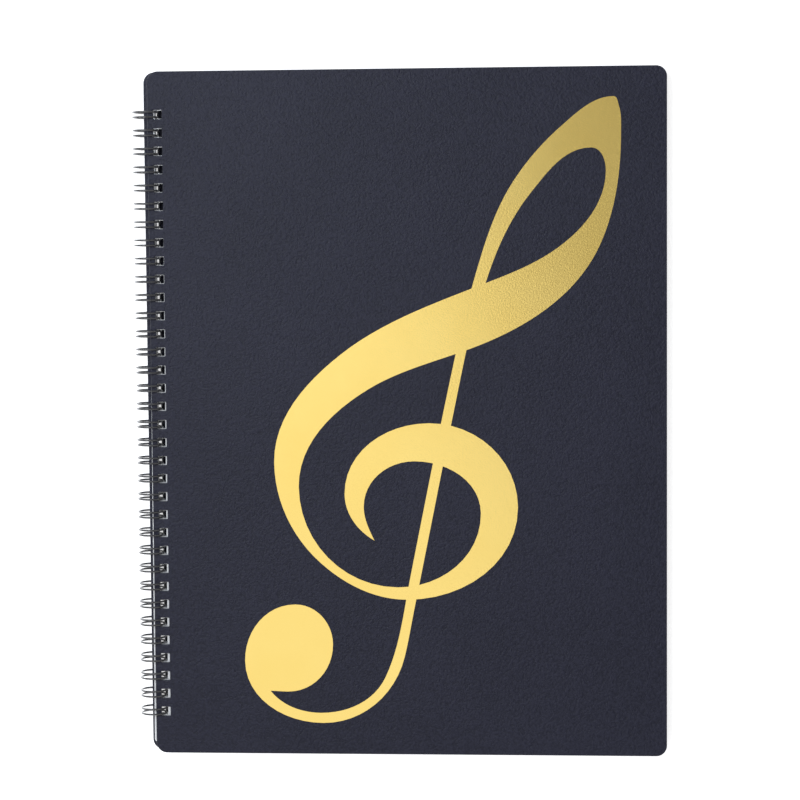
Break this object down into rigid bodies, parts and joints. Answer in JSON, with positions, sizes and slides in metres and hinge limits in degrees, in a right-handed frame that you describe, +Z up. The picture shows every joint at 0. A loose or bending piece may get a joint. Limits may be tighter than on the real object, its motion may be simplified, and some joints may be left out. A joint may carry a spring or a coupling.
{
  "type": "music folder",
  "caption": "Closed music folder: two stiff black plastic covers and a block of clear pocket leaves, bound along one edge by a double-loop wire, with a gold treble clef on the front.",
  "frame": {"origin": "under the middle of the closed folder, on the surface that it lies on", "axes": "+Z up out of the front cover, +Y towards the top of the cover, +X from the wire binding towards the free edge"},
  "size_m": [0.2472, 0.319, 0.0127],
  "materials": {
    "cover_plastic": "fine-grained matte polypropylene",
    "leaf_film": "clear film pockets, seen milky in the stack",
    "gold_foil": "satin stamped gold foil",
    "coated_wire": "glossy black nylon-coated steel wire"
  },
  "bodies": {
    "binding": {"binding_wire": "coated_wire", "pocket_leaves": "leaf_film"},
    "front": {"front_cover": "cover_plastic", "clef_foil": "gold_foil"},
    "back": {"back_cover": "cover_plastic"}
  },
  "joints": [
    {"name": "front_cover_hinge", "type": "hinge", "parent": "binding", "child": "front", "pos_m": [-0.11717, 0, 0.00627], "axis": [0, -1, 0], "range_deg": [0, 180]},
    {"name": "back_cover_hinge", "type": "hinge", "parent": "binding", "child": "back", "pos_m": [-0.11717, 0, 0.00627], "axis": [0, 1, 0], "range_deg": [0, 180]}
  ]
}
